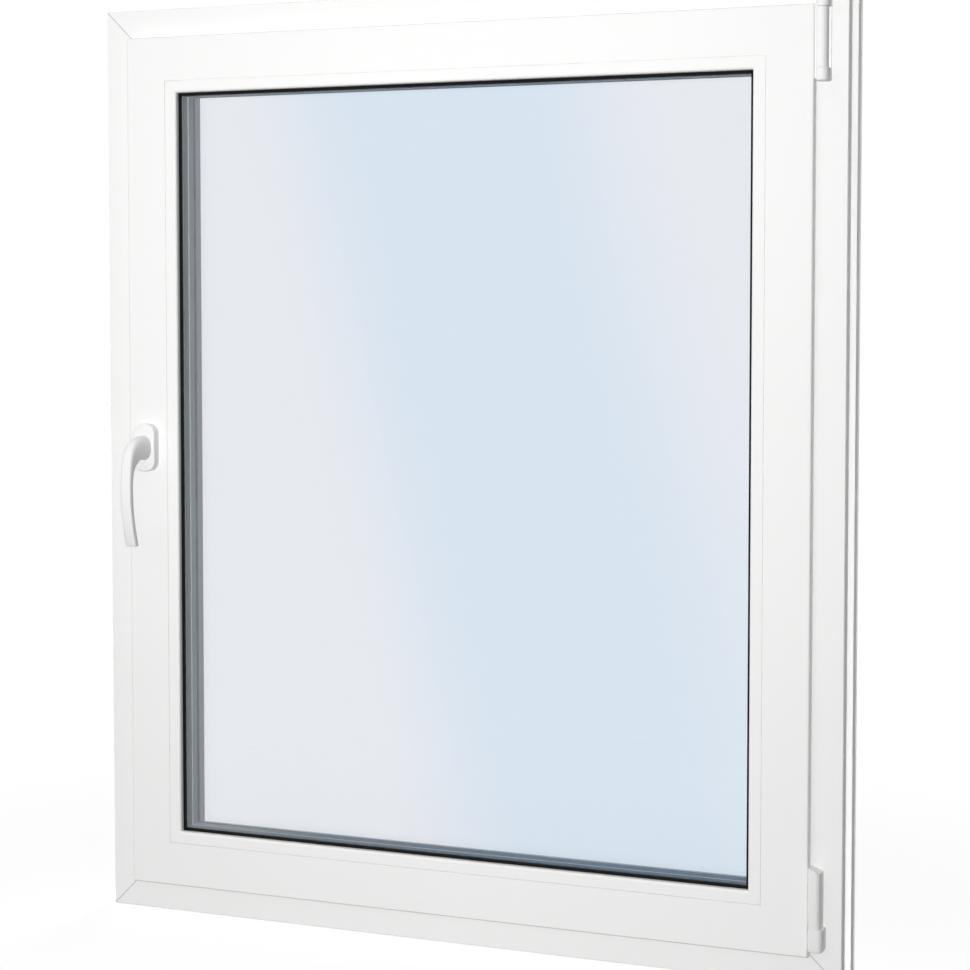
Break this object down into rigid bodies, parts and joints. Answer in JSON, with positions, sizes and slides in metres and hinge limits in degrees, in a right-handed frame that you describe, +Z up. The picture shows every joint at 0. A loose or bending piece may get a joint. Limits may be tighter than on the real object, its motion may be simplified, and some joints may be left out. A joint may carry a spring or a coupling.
{
  "type": "tilt and turn window",
  "caption": "White PVC-U tilt and turn window with a mitred outer frame, a glazed inward-opening sash on corner hinges and a lever handle.",
  "frame": {"origin": "on the lower face of the sill profile's raised land, halfway along the sill and halfway through the depth of the outer frame", "axes": "+X to the right for someone in the room (towards the hinges), +Y to the outside, +Z up"},
  "size_m": [1, 0.1449, 1.2],
  "materials": {
    "frame_pvc": "smooth white PVC-U with a low sheen",
    "sash_pvc": "smooth white PVC-U with a low sheen",
    "bead_pvc": "smooth white PVC-U with a low sheen",
    "glass": "clear float glass",
    "gasket": "black glazing rubber",
    "seal": "grey weather seal",
    "spacer": "satin metal spacer bar",
    "sealant": "dark edge sealant",
    "block": "hard plastic setting block",
    "handle": "white powder coat",
    "cover": "white moulded hinge cover",
    "steel": "zinc-plated steel"
  },
  "bodies": {
    "window": {"frame_sill": "frame_pvc", "frame_head": "frame_pvc", "frame_jamb_left": "frame_pvc", "frame_jamb_right": "frame_pvc", "sash_bottom_rail": "sash_pvc", "sash_top_rail": "sash_pvc", "sash_lock_stile": "sash_pvc", "sash_hinge_stile": "sash_pvc", "bead_bottom": "bead_pvc", "bead_top": "bead_pvc", "bead_left": "bead_pvc", "bead_right": "bead_pvc", "pane_room": "glass", "pane_middle": "glass", "pane_outside": "glass", "edge_sealant_room": "sealant", "edge_sealant_outside": "sealant", "spacer_room": "spacer", "spacer_outside": "spacer", "gasket_room": "gasket", "gasket_outside": "gasket", "setting_block_left": "block", "setting_block_right": "block", "seal_room": "seal", "seal_outside": "seal", "handle_rosette": "handle", "hinge_top_bracket": "cover", "hinge_top_sleeve": "cover", "hinge_top_pin": "steel", "hinge_bottom_cup": "cover", "hinge_bottom_cover": "cover", "hinge_bottom_pivot": "steel", "lock_rail": "steel", "lock_cam_bottom": "steel", "lock_cam_top": "steel", "lock_keep_bottom": "steel", "lock_keep_top": "steel"},
    "handle": {"handle_lever": "handle", "handle_spindle": "steel"}
  },
  "joints": [
    {"name": "handle_turn", "type": "hinge", "parent": "window", "child": "handle", "pos_m": [-0.434, -0.05, 0.623], "axis": [0, -1, 0], "range_deg": [0, 180]}
  ]
}
